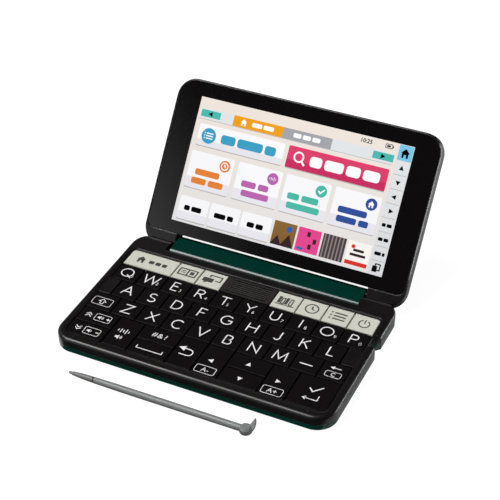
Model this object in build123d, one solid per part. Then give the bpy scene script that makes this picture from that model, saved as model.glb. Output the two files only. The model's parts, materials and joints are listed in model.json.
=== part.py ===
"""Electronic dictionary: a clamshell that folds right round on a double-axis hinge.

The base holds a keypad of separate keys over a rubber key sheet, and a silo for the stylus.
The lid holds the display. A bar between them carries the two hinge axes.

Millimetres. X runs to the right, Y to the back and Z up. The origin is the middle of the
flat underside of the base. The four rubber feet stand a little below that face.
"""
import os
from math import asin, cos, degrees, radians, sqrt

from build123d import *

# ---- keypad -------------------------------------------------------------------------------
key_pitch = 13.41        # width of one key unit
key_units = 10           # units across the keypad
letter_row = 12.2        # depth of the shortcut row and of each letter row
low_row = 10.3           # depth of each of the two front rows
key_gap = 0.6            # gap between two keys
key_travel = 0.5         # how far a key goes down
key_below_rim = 0.3      # how far the keys sit below the rim
key_bevel = 0.25         # bevel round a key's top
back_corner = 2.2        # rounding of the keypad's two back corners
front_corner = 4.2       # rounding of the keypad's two front corners

# ---- base ---------------------------------------------------------------------------------
side_rim = 4.25          # from the keypad to the side of the base
front_rim = 5.0          # from the keypad to the front of the base
back_deck = 5.95         # from the keypad back to the hinge bar's opening
base_height = 9.2
case_corner = 10.0       # rounding of the case's corners, seen from above
underside_bevel = 1.9    # height of the bevel of the base's lower edge
underside_inset = 2.4    # how far that bevel runs in under the base
rim_round = 1.8          # rounding of the base's upper edge
wall = 1.4
cavity_corner = 1.0      # rounding of the hollow's corners beside the hinge
floor = 1.1
deck = 1.4
rim_step = 0.25          # depth of the shallow step round the keypad
rim_step_width = 0.9
stop_rise = 0.35         # how far the two lid stops stand above the rim
stop_radius = 0.7
stop_side = 11.3         # from a lid stop to the side of the case
stop_front = 2.9         # from a lid stop to the front of the case

# ---- speaker grille -----------------------------------------------------------------------
grille_columns = 18
grille_rows = 7
grille_pitch_x = 1.2
grille_pitch_y = 1.42
grille_hole_x = 0.65
grille_hole_y = 0.75
speaker_height = 1.0
speaker_margin = 1.0     # the speaker is this much smaller than the grille on each side

# ---- hinge --------------------------------------------------------------------------------
lid_thickness = 7.6
fold_gap = 0.5           # gap between lid and base when folded flat, either way
bar_radius = 3.2
bar_gap = 1.05           # gap round the hinge bar
opening_round = 1.2      # rounding of the deck's edge in front of the bar
bar_width = 103.6
bar_end_gap = 0.6        # gap between an end of the bar and the ears
bar_edge = 0.3           # bevel round the bar's ends
shaft_radius = 1.6
shaft_clearance = 0.05   # running clearance of a shaft in an ear
shaft_in_ear = 10.0
shaft_end_gap = 0.5
lid_lean = 53.2          # angle of the lid above the horizontal, in degrees

# ---- lid ----------------------------------------------------------------------------------
lid_setback = 1.0        # how far the closed lid stops short of the front of the base
lid_front_bevel = 0.5
lid_back_bevel = 1.9
lid_skin = 1.3
window_border = 1.1      # lip of the frame round the window
window_sink = 0.2        # how far the window lies below the lip
window_thickness = 1.2
window_corner = 4.0      # rounding of the window's two lower corners
window_clearance = 0.12
window_above_bar = 0.2   # from the bar's opening to the window's lower edge
screen_width = 115.1
screen_height = 64.7
screen_lift = 10.7       # from the lid's hinge axis to the screen's lower edge
panel_margin = 2.5       # the display panel is this much larger than the screen
panel_thickness = 3.4
panel_clearance = 0.3

# ---- inside the base ----------------------------------------------------------------------
sheet_thickness = 0.45
pad_size = 4.0
pad_rise = 0.2           # height of a contact pad at the end of its stroke
pad_clearance = 0.1      # room left between a pressed key and its pad
board_thickness = 0.6
board_inset = 2.5        # from the keypad's outline to the board's edge
board_corner = 2.0
chip_places = ((-38, -14, 14), (-38, 12, 9), (22, 24, 7), (-8, -18, 8))   # x, y and size
chip_thickness = 1.2
battery_size = (46.0, 31.0)
battery_headroom = 0.4   # between the battery and the board
battery_place = (29.0, -21.0)
battery_corner = 0.9     # bevel of the battery's long edges
battery_clearance = 0.3
contact_room = 3.0       # space beside the battery for its contacts
contact_size = (1.4, 2.0, 2.6)
contact_gap = 0.1        # from the battery to its contacts
bay_wall = 1.0
bay_drop = 0.4           # how far the bay's walls stop below the seam
door_overlap = 1.2       # how far the door's rebate laps the floor
door_clearance = 0.15
hook_width = 6.0
hook_thickness = 0.7
hook_reach = 1.2         # how far a hook laps the floor
hook_gap = 0.05
post_side = 2.8
post_places = ((-55, -30), (-20, -30), (-55, 3), (-40, 22), (40, 24))
boss_side = 5.2
boss_bite = 0.4          # how far a boss runs into the side wall
boss_front = 9.0         # from the front of the case to the middle of the front bosses
screw_radius = 1.2       # of a screw's recess in the underside
screw_sink = 0.7
door_tab = 3.4           # radius of the door's screw tab
door_tab_out = 2.2       # from the bay to the middle of the tab
door_screw_sink = 0.3
foot_size = (12.0, 3.8)
foot_corner = 1.0        # bevel of a foot's corners, seen from below
foot_rise = 0.4          # how far a foot stands below the underside
foot_seat = 0.5          # depth of a foot's recess
foot_clearance = 0.1
foot_side = 10.5         # from the side of the case to the middle of a foot
foot_front = 8.0         # from the front of the case to the middle of the front feet
foot_back = 6.0          # from the hinge axis to the middle of the back feet

# ---- stylus -------------------------------------------------------------------------------
stylus_length = 93.8
stylus_radius = 1.65
stylus_nib = 2.0         # length of the bare nib
nib_radius = 0.62
stylus_nose = 13.0       # length from the point to the end of the tapered nose
nose_tip = 0.9           # radius of the nose where the nib comes out
nose_radius = 1.45       # radius at the wide end of the nose
nose_swell = 0.12        # how far the nose's side stands out from a straight cone
groove_width = 0.5       # of the groove between nose and barrel
groove_depth = 0.2
barrel_start = 1.5       # radius of the barrel behind the groove
barrel_run = 16.0        # length over which the barrel grows to its full radius
head_radius = 2.9
head_height = 4.0
head_bevel = 0.9
claw_width = 1.5
claw_reach = 6.0         # how far the claw's tip stands off the stylus axis
claw_root = 1.4          # how far below the head's middle the claw starts
claw_bow = 0.9           # how far the claw's outer side stands out beyond the head
claw_neck = 2.6          # height on the head where the claw's inner side leaves it
claw_roll = 45.0         # degrees that the claw leans back from upright
stylus_place = (-9.05, -56.0)   # where the middle of the stylus lies on the table
stylus_turn = -0.1       # degrees from the X axis
silo_clearance = 0.35
silo_wall = 0.5
silo_fit = 0.05          # gap between the silo and the upper shell
silo_floor = 0.9
silo_board_gap = 0.05    # between the silo and the board above it
silo_y = 13.8
notch_width = 8.0
notch_depth = 3.6

# ---- sockets in the left side -------------------------------------------------------------
jack_radius = 1.8
jack_length = 12.0
jack_wall = 0.35
jack_lift = 0.05         # between the jack and the floor
jack_collar = 1.5        # length of the jack's round collar
jack_end = 1.0           # thickness of the jack's closed end
jack_y = -8.0
usb_size = (5.5, 8.0, 2.9)
usb_mouth = (7.0, 1.9)
usb_end = 3.0            # length of the charging socket behind its mouth
usb_y = -24.0
socket_gap = 0.3         # gap between a socket and its opening in the wall
socket_inset = 0.5       # how far a socket's face lies inside the side of the case
socket_cut = 3.0         # depth of the openings in the side of the case
past = 1.0               # how far a cutting shape runs on beyond the surface it cuts
bite = 1.0               # how far a joined shape runs into the one that carries it

# ---- worked out from the sizes above ------------------------------------------------------
keypad_width = key_units * key_pitch
keypad_depth = 4 * letter_row + 2 * low_row
width = keypad_width + 2 * side_rim
base_round = base_height / 2
lid_round = lid_thickness / 2
opening = bar_radius + bar_gap
depth = front_rim + keypad_depth + back_deck + opening + base_round
front_y = -depth / 2
keypad_front = front_y + front_rim
keypad_back = keypad_front + keypad_depth
hinge_y = keypad_back + back_deck + opening
hinge_z = base_round
axis_spacing = base_round + lid_round + fold_gap
lid_axis_y = hinge_y + axis_spacing
seam = hinge_z
ear_x = bar_width / 2 + bar_end_gap
shaft_tip = ear_x + shaft_in_ear
ear_hole = shaft_radius + shaft_clearance
deck_z = base_height - deck
step_z = base_height - rim_step
silo_radius = stylus_radius + silo_clearance
silo_z = silo_floor + silo_radius
board_foot = silo_z + silo_radius + silo_wall + silo_board_gap
board_top = board_foot + board_thickness
sheet_top = board_top + sheet_thickness
pad_top = sheet_top + pad_rise
key_foot = pad_top + pad_clearance + key_travel
key_top = base_height - key_below_rim
battery_foot = floor + hook_gap
battery_top = board_foot - battery_headroom
table_z = -foot_rise
lid_reach = hinge_y - front_y - lid_setback
silo_length = stylus_length - 2 * head_radius
barrel_full = stylus_nose + groove_width + barrel_run
notch_x = width / 2 - notch_depth
jack_outer = jack_radius + jack_wall
jack_z = floor + jack_lift + jack_outer
socket_x = socket_inset - width / 2


def block(x_span, y_span, z_span):
    """A box between two values on each axis."""
    spans = (x_span, y_span, z_span)
    size = [high - low for low, high in spans]
    middle = [(high + low) / 2 for low, high in spans]
    return Pos(*middle) * Box(*size)


def rod(radius, x_span, y, z):
    """A cylinder that lies along X."""
    length = x_span[1] - x_span[0]
    return Pos((x_span[0] + x_span[1]) / 2, y, z) * Rot(0, 90, 0) * Cylinder(radius, length)


def both_sides(shape):
    """The shape and its mirror image in the middle plane."""
    return shape + mirror(shape, about=Plane.YZ)


def plate(x_span, y_span, z_span, front_radius, back_radius):
    """A plate with rounded vertical corners: one radius in front, one at the back."""
    outline = Rectangle(x_span[1] - x_span[0], y_span[1] - y_span[0])
    front, back = outline.vertices().group_by(Axis.Y)
    outline = fillet(front, front_radius)
    back = outline.vertices().group_by(Axis.Y)[-1]
    outline = fillet(back, back_radius)
    middle = Pos((x_span[0] + x_span[1]) / 2, (y_span[0] + y_span[1]) / 2, z_span[0])
    return middle * extrude(outline, z_span[1] - z_span[0])


# ---- keypad -------------------------------------------------------------------------------
def keypad_plate(inset, z_span):
    """The keypad's rounded field, drawn in from its edge by a distance."""
    half = keypad_width / 2 - inset
    y_span = (keypad_front + inset, keypad_back - inset)
    return plate((-half, half), y_span, z_span, front_corner - inset, back_corner - inset)


def key_layout():
    """Each key's name with its first and last unit across and its back and front row edge."""
    rows = [keypad_back - letter_row * n for n in range(5)]
    rows += [rows[-1] - low_row * n for n in (1, 2)]
    keys = [("home", 0, 2, 0, 1)]
    keys += [("subject_a", 2, 3, 0, 1), ("subject_b", 3, 4, 0, 1)]
    keys += [("bookshelf", 6, 7, 0, 1), ("history", 7, 8, 0, 1), ("contents", 8, 9, 0, 1)]
    keys += [("power", 9, 10, 0, 1)]
    keys += [(letter, n, n + 1, 1, 2) for n, letter in enumerate("qwertyuiop")]
    keys += [(letter, n + 0.5, n + 1.5, 2, 3) for n, letter in enumerate("asdfghjkl")]
    third = ["shift", *"zxcvbnm", "dash", "delete"]
    keys += [(name, n, n + 1, 3, 4) for n, name in enumerate(third)]
    keys += [("page_up", 0, 1.5, 4, 5), ("page_down", 0, 1.5, 5, 6), ("voice", 1.5, 2.5, 4, 6)]
    keys += [("symbols", 2.5, 4, 4, 5), ("space", 2.5, 4, 5, 6), ("back", 4, 5, 4, 6)]
    keys += [("left", 5, 6, 4, 6), ("up", 6, 7.5, 4, 5), ("down", 6, 7.5, 5, 6)]
    keys += [("right", 7.5, 8.5, 4, 6), ("enter", 8.5, 10, 4, 6)]
    edge = -keypad_width / 2
    return [
        (name, (edge + first * key_pitch, edge + last * key_pitch), (rows[front], rows[back]))
        for name, first, last, back, front in keys
    ]


def key(x_span, y_span, field):
    """One key: a bevelled cap that follows the keypad's corners."""
    gap = key_gap / 2
    spans = [(low + gap, high - gap) for low, high in (x_span, y_span)]
    cap = block(*spans, (key_foot, key_top)) & field
    return chamfer(cap.faces().sort_by(Axis.Z)[-1].edges(), key_bevel)


def grille_span():
    """The fixed panel in the back row that the speaker sounds through."""
    gap = key_gap / 2
    return (-key_pitch + gap, key_pitch - gap), (keypad_back - letter_row + gap, keypad_back)


# ---- base ---------------------------------------------------------------------------------
def base_envelope():
    """The closed outer form of the base, round at the back about the hinge axis."""
    body = extrude(RectangleRounded(width, depth, case_corner), base_height)
    foot = body.faces().sort_by(Axis.Z)[0]
    body = chamfer(foot.edges(), underside_inset, underside_bevel, reference=foot)
    body = fillet(body.faces().sort_by(Axis.Z)[-1].edges(), rim_round)
    ahead = block((-width, width), (front_y - past, hinge_y), (-past, base_height + past))
    return body & (ahead + rod(base_round, (-width, width), hinge_y, hinge_z))


def base_shell():
    """The envelope with the bar's opening, the shaft holes, the cavity and the notch."""
    half = width / 2 - wall
    cavity = plate(
        (-half, half), (front_y + wall, hinge_y - opening - wall), (floor, deck_z),
        case_corner - wall, cavity_corner,
    )
    bar_room = block((-ear_x, ear_x), (hinge_y - opening, depth), (-past, base_height + past))
    shaft_hole = rod(ear_hole, (ear_x - past, shaft_tip + shaft_end_gap), hinge_y, hinge_z)
    shell = base_envelope() - cavity - bar_room - both_sides(shaft_hole)
    return shell - opening_edge() + notch_walls() - notch()


def opening_edge():
    """What rounds the deck off where it ends in front of the bar."""
    y = hinge_y - opening - opening_round
    z = base_height - opening_round
    corner = block((-ear_x, ear_x), (y, hinge_y), (z, base_height + past))
    return corner - rod(opening_round, (-ear_x, ear_x), y, z)


def notch():
    """The gap in the right side where the stylus head is gripped."""
    y_span = (silo_y - notch_width / 2, silo_y + notch_width / 2)
    return block((notch_x, width), y_span, (-past, base_height + past))


def notch_walls():
    """The walls that close the cavity off round the notch."""
    lip = keypad_width / 2
    reach = notch_width / 2 + wall
    y_span = (silo_y - reach, silo_y + reach)
    outer = width / 2 - wall / 2
    low = block((notch_x - wall, outer), y_span, (floor, seam))
    return low + block((lip, outer), y_span, (seam, deck_z))


def boss_points():
    """Where the four case screws go up from below."""
    x = width / 2 - wall - boss_side / 2 + boss_bite
    return [(side * x, y) for side in (-1, 1) for y in (front_y + boss_front, keypad_back)]


def foot_points():
    """Where the four feet are."""
    x = width / 2 - foot_side
    y_places = (front_y + foot_front, hinge_y - foot_back)
    return [(side * x, y) for side in (-1, 1) for y in y_places]


def pillars(points, section, z_span):
    """Upright pillars of one section, at a list of places."""
    height = z_span[1] - z_span[0]
    return [Pos(x, y, z_span[0]) * extrude(section, height) for x, y in points]


def foot_outline(grow):
    """A foot seen from below, grown by a distance."""
    outline = Rectangle(foot_size[0] + 2 * grow, foot_size[1] + 2 * grow)
    return chamfer(outline.vertices(), foot_corner)


def battery_spans(grow):
    """The battery's plan, grown by a distance on every side."""
    spans = zip(battery_place, battery_size)
    return [(middle - size / 2 - grow, middle + size / 2 + grow) for middle, size in spans]


def bay_spans(grow):
    """The battery bay's plan: the battery's, its clearance and the room for the contacts."""
    (left, right), y_span = battery_spans(battery_clearance + grow)
    return (left - contact_room, right), y_span


def door_steps(clearance):
    """The battery door: an outer plate in the underside and an inner one inside the rebate."""
    half = floor / 2
    outer = block(*bay_spans(door_overlap - clearance), (0, half))
    outer += pillars([door_screw_point()], Circle(door_tab - clearance), (0, half))
    return outer + block(*bay_spans(-clearance), (half, floor))


def door_screw_point():
    """Where one screw holds the door, just outside the bay."""
    (_, right), (near, far) = bay_spans(0)
    return right + door_tab_out, (near + far) / 2


def door_hooks(grow):
    """Two hooks that lap the floor of the case, grown by a distance."""
    (left, _), (near, far) = bay_spans(0)
    hooks = []
    for y in (near + hook_width, far - hook_width):
        y_span = (y - hook_width / 2 - grow, y + hook_width / 2 + grow)
        x_span = (left - hook_reach - grow, left + contact_room / 2)
        hooks.append(block(x_span, y_span, (floor, floor + hook_thickness + grow)))
    return hooks


def bottom_case():
    """The lower shell with its silo, battery bay, posts and seats."""
    shell = base_shell() & block((-width, width), (-depth, depth), (-past, seam))
    silo_wall_radius = silo_radius + silo_wall
    silo_x = (notch_x - silo_length, notch_x)
    tube = rod(silo_wall_radius, (silo_x[0] - wall, silo_x[1]), silo_y, silo_z)
    shell += tube & block((-width, width), (-depth, depth), (floor / 2, base_height))
    bay = block(*bay_spans(bay_wall), (floor, seam - bay_drop))
    shell += bay - block(*bay_spans(0), (0, base_height))
    posts = [*post_places, door_screw_point()]
    shell += pillars(posts, Rectangle(post_side, post_side), (floor / 2, board_foot))
    bosses = pillars(boss_points(), Rectangle(boss_side, boss_side), (floor / 2, seam))
    shell += [boss & base_envelope() for boss in bosses]
    shell -= rod(silo_radius, (silo_x[0], width), silo_y, silo_z)
    shell -= door_steps(0)
    for hook in door_hooks(hook_gap):
        shell -= hook
    shell -= pillars(foot_points(), foot_outline(foot_clearance), (-past, foot_seat))
    shell -= pillars(boss_points(), Circle(screw_radius), (-past, screw_sink))
    return shell - socket_openings()


def top_case():
    """The upper shell: rim, deck, fixed key blanks and the speaker grille."""
    shell = base_shell() & block((-width, width), (-depth, depth), (seam, base_height + past))
    bosses = pillars(boss_points(), Rectangle(boss_side, boss_side), (seam, deck_z + deck / 2))
    shell += [boss & base_envelope() for boss in bosses]
    shell -= keypad_plate(0, (seam, base_height + past))
    shell -= keypad_plate(-rim_step_width, (step_z, base_height + past))
    x_span, y_span = grille_span()
    panel_middle = Pos(sum(x_span) / 2, sum(y_span) / 2, key_foot)
    panel = Rectangle(x_span[1] - x_span[0], y_span[1] - y_span[0])
    holes = GridLocations(grille_pitch_x, grille_pitch_y, grille_columns, grille_rows)
    panel -= holes * Rectangle(grille_hole_x, grille_hole_y)
    shell += panel_middle * extrude(panel, step_z - key_foot)
    shell += block(x_span, (keypad_back, keypad_back + wall), (key_foot, step_z))
    silo = rod(silo_radius + silo_wall + silo_fit, (0, width), silo_y, silo_z)
    return shell + both_sides(key_blank()) - socket_openings() - silo


def key_blank():
    """The fixed half key at the end of the middle letter row."""
    gap = key_gap / 2
    edge = keypad_width / 2
    back = keypad_back - 2 * letter_row
    y_span = (back - letter_row + gap, back - gap)
    cap = block((edge - key_pitch / 2 + gap, edge), y_span, (key_foot, key_top))
    cap = chamfer(cap.faces().sort_by(Axis.Z)[-1].edges().sort_by(Axis.X)[0], key_bevel)
    return cap + block((edge - bite, edge + wall), y_span, (key_foot, key_top))


def battery_door():
    """The door: it hooks in on one side and is screwed down on the other."""
    door = door_steps(door_clearance)
    (left, _), _ = bay_spans(0)
    door -= pillars([door_screw_point()], Circle(screw_radius), (-past, door_screw_sink))
    for hook in door_hooks(0):
        root = hook & block((left + door_clearance, width), (-depth, depth), (floor, seam))
        tongue = Pos(0, 0, hook_gap) * hook
        door += tongue + root
    return door


def battery_pack():
    """A flat battery with bevelled long sides."""
    body = block(*battery_spans(0), (battery_foot, battery_top))
    return chamfer(body.edges().filter_by(Axis.Y), battery_corner)


def socket_openings():
    """The openings in the left side for the earphone jack and the charging socket."""
    x_span = (-width, socket_cut - width / 2)
    jack = rod(jack_outer + socket_gap, x_span, jack_y, jack_z)
    half = usb_size[1] / 2 + socket_gap
    z_span = (board_foot - usb_size[2] - socket_gap, board_foot + board_thickness)
    return jack + block(x_span, (usb_y - half, usb_y + half), z_span)


def earphone_jack():
    """A round socket in a square body that stands on the floor and hangs from the board."""
    bore_end = socket_x + jack_length
    collar = rod(jack_outer, (socket_x, socket_x + jack_collar + bite), jack_y, jack_z)
    body = block(
        (socket_x + jack_collar, bore_end + jack_end), (jack_y - jack_outer, jack_y + jack_outer),
        (jack_z - jack_outer, board_foot),
    )
    return collar + body - rod(jack_radius, (socket_x - past, bore_end), jack_y, jack_z)


def charging_socket():
    """A flat socket on the underside of the board."""
    length, width_y, height = usb_size
    mouth_width, mouth_height = usb_mouth
    middle = board_foot - height / 2
    shell = block(
        (socket_x, socket_x + length + usb_end), (usb_y - width_y / 2, usb_y + width_y / 2),
        (board_foot - height, board_foot),
    )
    return shell - block(
        (socket_x - past, socket_x + length), (usb_y - mouth_width / 2, usb_y + mouth_width / 2),
        (middle - mouth_height / 2, middle + mouth_height / 2),
    )


def battery_contacts():
    """Three contacts that hang from the board beside the battery."""
    thickness, contact_width, height = contact_size
    right = battery_spans(0)[0][0] - contact_gap
    contacts = []
    for place in (-1, 0, 1):
        y = battery_place[1] + place * battery_size[1] / 5
        y_span = (y - contact_width / 2, y + contact_width / 2)
        contacts.append(block((right - thickness, right), y_span, (board_foot - height, board_foot)))
    return contacts


def speaker():
    """The speaker's box, on the board under the grille."""
    spans = [(low + speaker_margin, high - speaker_margin) for low, high in grille_span()]
    return block(*spans, (board_top, board_top + speaker_height))


def circuit_board():
    """The main board with its sockets, chips, battery contacts and speaker."""
    half = keypad_width / 2 - board_inset
    y_span = (keypad_front + board_inset, keypad_back - board_inset)
    board = plate((-half, half), y_span, (board_foot, board_top), board_corner, board_corner)
    for x, y, size in chip_places:
        chip = (x - size / 2, x + size / 2), (y - size / 2, y + size / 2)
        board += block(*chip, (board_foot - chip_thickness, board_foot))
    board += battery_contacts()
    return board + earphone_jack() + charging_socket() + speaker()


def key_sheet():
    """The rubber sheet under the keys, with one contact pad for each."""
    sheet = keypad_plate(key_gap / 2, (board_top, sheet_top))
    pads = []
    for _, *key_spans in key_layout():
        middles = [(low + high) / 2 for low, high in key_spans]
        spans = [(middle - pad_size / 2, middle + pad_size / 2) for middle in middles]
        pads.append(block(*spans, (sheet_top - sheet_thickness / 2, pad_top)))
    x_span, y_span = grille_span()
    speaker_room = block(x_span, (y_span[0], width), (board_top - past, pad_top + past))
    return sheet - speaker_room + pads


def rubber_pads():
    """The four feet and the two lid stops, which are all rubber plugs."""
    feet = pillars(foot_points(), foot_outline(0), (-foot_rise, foot_seat))
    x = width / 2 - stop_side
    points = [(-x, front_y + stop_front), (x, front_y + stop_front)]
    stops = pillars(points, Circle(stop_radius), (base_height, base_height + stop_rise))
    return Compound(children=feet + stops)


# ---- hinge --------------------------------------------------------------------------------
def hinge_bar():
    """The bar between base and lid, round about both axes and bored for the two shafts."""
    middle = Plane.YZ * Pos(hinge_y + axis_spacing / 2, hinge_z, -bar_width / 2)
    bar = extrude(middle * SlotCenterToCenter(axis_spacing, 2 * bar_radius), bar_width)
    bar = chamfer(bar.faces().filter_by(Axis.X).edges(), bar_edge)
    for y in (hinge_y, lid_axis_y):
        bar -= rod(shaft_radius, (-width, width), y, hinge_z)
    return bar


def hinge_shafts():
    """Two shafts through the bar: one turns in the base's ears and one in the lid's."""
    x_span = (-shaft_tip, shaft_tip)
    return Compound(children=[rod(shaft_radius, x_span, y, hinge_z) for y in (hinge_y, lid_axis_y)])


# ---- lid: drawn lying flat about its hinge axis, front face up ------------------------------
def in_lid(shape):
    """Stand a lid part up about the lid's hinge axis."""
    return Pos(0, lid_axis_y, hinge_z) * Rot(lid_lean, 0, 0) * shape


def lid_shell():
    """The closed outer form of the lid, with the bar's opening and the shaft holes."""
    half = width / 2
    y_span = (-lid_round, lid_reach)
    body = plate((-half, half), y_span, (-lid_round, lid_round), case_corner, case_corner)
    body = chamfer(body.faces().sort_by(Axis.Z)[0].edges(), lid_back_bevel)
    body = chamfer(body.faces().sort_by(Axis.Z)[-1].edges(), lid_front_bevel)
    ahead = block((-width, width), (0, lid_reach + past), (-lid_thickness, lid_thickness))
    body &= ahead + rod(lid_round, (-width, width), 0, 0)
    body -= block((-ear_x, ear_x), (-width, opening), (-lid_thickness, lid_thickness))
    return body - both_sides(rod(ear_hole, (ear_x - past, shaft_tip + shaft_end_gap), 0, 0))


def window_plate(grow, z_span):
    """The display window's outline as a plate, grown by a distance."""
    half = width / 2 - window_border + grow
    y_span = (opening + window_above_bar - grow, lid_reach - window_border + grow)
    back_radius = case_corner - window_border + grow
    return plate((-half, half), y_span, z_span, window_corner + grow, back_radius)


def panel_block(grow, z_span):
    """The display panel's outline as a block, grown by a distance."""
    half = screen_width / 2 + panel_margin + grow
    low = screen_lift - panel_margin - grow
    high = screen_lift + screen_height + panel_margin + grow
    return block((-half, half), (low, high), z_span)


def lid_frame():
    """The front half of the lid: the frame that holds the display, with the ears' front halves."""
    window_back = lid_round - window_sink - window_thickness
    frame = lid_shell() & block((-width, width), (-width, width), (0, lid_round + past))
    frame -= window_plate(window_clearance, (window_back, lid_round + past))
    return in_lid(frame - panel_block(panel_clearance, (-past, lid_round + past)))


def lid_cover():
    """The back half of the lid: the outer cover, hollow behind the display."""
    cover = lid_shell() & block((-width, width), (-width, width), (-lid_round - past, 0))
    half = width / 2 - wall
    inside = plate(
        (-half, half), (opening + wall, lid_reach - wall), (lid_skin - lid_round, past),
        cavity_corner, case_corner - wall,
    )
    return in_lid(cover - inside)


def display():
    """The display window bonded to the panel behind it."""
    window_top = lid_round - window_sink
    window_back = window_top - window_thickness
    window = window_plate(0, (window_back, window_top))
    panel = panel_block(0, (window_back - panel_thickness, window_back))
    return in_lid(window + panel)


# ---- stylus: drawn along X from its point, then laid on the table ---------------------------
def stylus():
    """The stylus with its nib, swelling nose, groove, barrel, drum head and claw."""
    end = stylus_length - head_radius
    middle = (stylus_nib + stylus_nose) / 2
    swell = (nose_tip + nose_radius) / 2 + nose_swell
    groove = nose_radius - groove_depth
    barrel = stylus_nose + groove_width
    with BuildLine() as profile:
        Polyline((stylus_nib, 0), (0, 0), (0, nib_radius / 2), (nib_radius / 2, nib_radius))
        Polyline((nib_radius / 2, nib_radius), (stylus_nib, nib_radius), (stylus_nib, nose_tip))
        Spline((stylus_nib, nose_tip), (middle, swell), (stylus_nose, nose_radius))
        Polyline((stylus_nose, nose_radius), (stylus_nose, groove), (barrel, groove))
        Polyline((barrel, groove), (barrel, barrel_start), (barrel_full, stylus_radius))
        Polyline((barrel_full, stylus_radius), (end, stylus_radius), (end, 0), (stylus_nib, 0))
    body = revolve(make_face(profile.line), Axis.X)
    drum = Cylinder(head_radius, head_height)
    drum = chamfer(drum.faces().filter_by(Axis.Z).edges(), head_bevel)
    return body + Pos(end, 0, 0) * (drum + Rot(-claw_roll, 0, 0) * stylus_claw())


def stylus_claw():
    """The claw that a fingernail pulls the stylus out by: a crescent that rises to a tip."""
    tip = (head_radius, claw_reach)
    outer = (head_radius * cos(radians(claw_roll)), -claw_root)
    bow = (head_radius + claw_bow, claw_neck)
    inner = (head_radius / 2, claw_neck)
    with BuildLine() as profile:
        ThreePointArc(outer, bow, tip)
        Polyline(tip, inner, (0, 0), outer)
    return extrude(Plane.XZ * make_face(profile.line), claw_width / 2, both=True)


def lay_on_table(shape):
    """Lay the stylus down on its barrel and its head, with the point just off the table."""
    run = stylus_length - head_radius
    foot = head_height / 2
    rise = (foot - stylus_radius) / (run - barrel_full)
    middle = Pos(stylus_place[0], stylus_place[1], table_z + foot - rise * run / 2)
    tilt = degrees(asin(rise))
    return middle * Rot(0, 0, stylus_turn) * Rot(0, -tilt, 0) * Pos(-run / 2, 0, 0) * shape


nodes = {
    "bottom_case": bottom_case(),
    "top_case": top_case(),
    "battery_door": battery_door(),
    "battery_pack": battery_pack(),
    "circuit_board": circuit_board(),
    "key_sheet": key_sheet(),
    "rubber_pads": rubber_pads(),
    "hinge_bar": hinge_bar(),
    "hinge_shafts": hinge_shafts(),
    "lid_frame": lid_frame(),
    "lid_cover": lid_cover(),
    "display": display(),
    "stylus": lay_on_table(stylus()),
}
key_field = keypad_plate(key_gap / 2, (key_foot, key_top))
for key_name, key_x, key_y in key_layout():
    nodes["key_" + key_name] = key(key_x, key_y, key_field)

os.makedirs("parts", exist_ok=True)
for node_name, node_shape in nodes.items():
    export_step(node_shape, f"parts/{node_name}.step")
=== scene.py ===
# %% [markdown]
# # An electronic dictionary, dressed for its picture
#
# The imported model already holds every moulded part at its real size: two case halves, the
# hinge bar, the lid, forty-seven keys and a stylus. This lesson gives each of them the finish
# of the real material, prints the legends on the keys, lights up the display and adds the
# screws. Everything is in metres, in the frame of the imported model, so a new piece goes
# straight where the model says.

import json
from math import cos, degrees, pi, radians, sin, sqrt

import bmesh
import bpy
from mathutils import Matrix, Vector


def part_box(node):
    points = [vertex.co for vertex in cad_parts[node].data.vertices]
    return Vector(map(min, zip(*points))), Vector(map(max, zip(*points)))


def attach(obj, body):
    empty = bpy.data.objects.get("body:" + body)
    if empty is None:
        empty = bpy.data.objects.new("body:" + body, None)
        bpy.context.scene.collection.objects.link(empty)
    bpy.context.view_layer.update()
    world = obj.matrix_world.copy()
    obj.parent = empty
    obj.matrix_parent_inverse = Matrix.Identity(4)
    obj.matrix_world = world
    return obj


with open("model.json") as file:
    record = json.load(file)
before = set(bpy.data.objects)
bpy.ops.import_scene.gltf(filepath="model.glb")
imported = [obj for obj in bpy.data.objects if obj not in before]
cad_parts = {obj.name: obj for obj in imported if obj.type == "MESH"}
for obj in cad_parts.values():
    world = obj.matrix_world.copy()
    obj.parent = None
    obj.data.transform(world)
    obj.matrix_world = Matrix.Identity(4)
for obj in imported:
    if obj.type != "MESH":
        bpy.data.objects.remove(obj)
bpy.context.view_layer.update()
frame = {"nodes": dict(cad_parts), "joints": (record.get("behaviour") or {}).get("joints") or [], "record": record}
nodes = frame["nodes"]
joints = {joint["name"]: joint for joint in frame["joints"]}
MM = 0.001
print("parts in the frame:", len(nodes), "joints:", len(joints))

# %% [markdown]
# ## Where things are
#
# The tops of the keys and the front of the lid carry all the drawings. The keys give their
# own places. The lid leans back, so its drawings are made flat, with Y up the lid and Z out
# of its front, and one matrix stands them up about the lid's hinge axis. The lean is read
# from the range of the lid's joint, which ends where the lid is closed and where it is
# folded right round. Drawings are in millimetres.

# %% The lid's own frame
lid_joint = joints["lid_turn"]
lid_lean = radians(sum(lid_joint["range_deg"]) / 2)
lid_frame = Matrix.Translation(lid_joint["pos_m"]) @ Matrix.Rotation(lid_lean, 4, "X")
lid_thickness = 7.6
window_sink = 0.2
window_front = lid_thickness / 2 - window_sink
screen_width = 115.1
screen_height = 64.7
screen_lift = 10.7
floor_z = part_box("rubber_pads")[0].z
base_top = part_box("top_case")[1].z
print("the lid leans", round(degrees(lid_lean), 1), "degrees; the floor is at", round(floor_z, 5))

# %% [markdown]
# ## The camera
#
# A product picture of a small object is taken from far off with a long lens, so that the
# edges stay nearly parallel. The camera stands two thirds of a metre away, in front and to
# the right, and looks down at the keypad. Its place and its three angles were found from
# known corners of the keypad and the screen.

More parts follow.
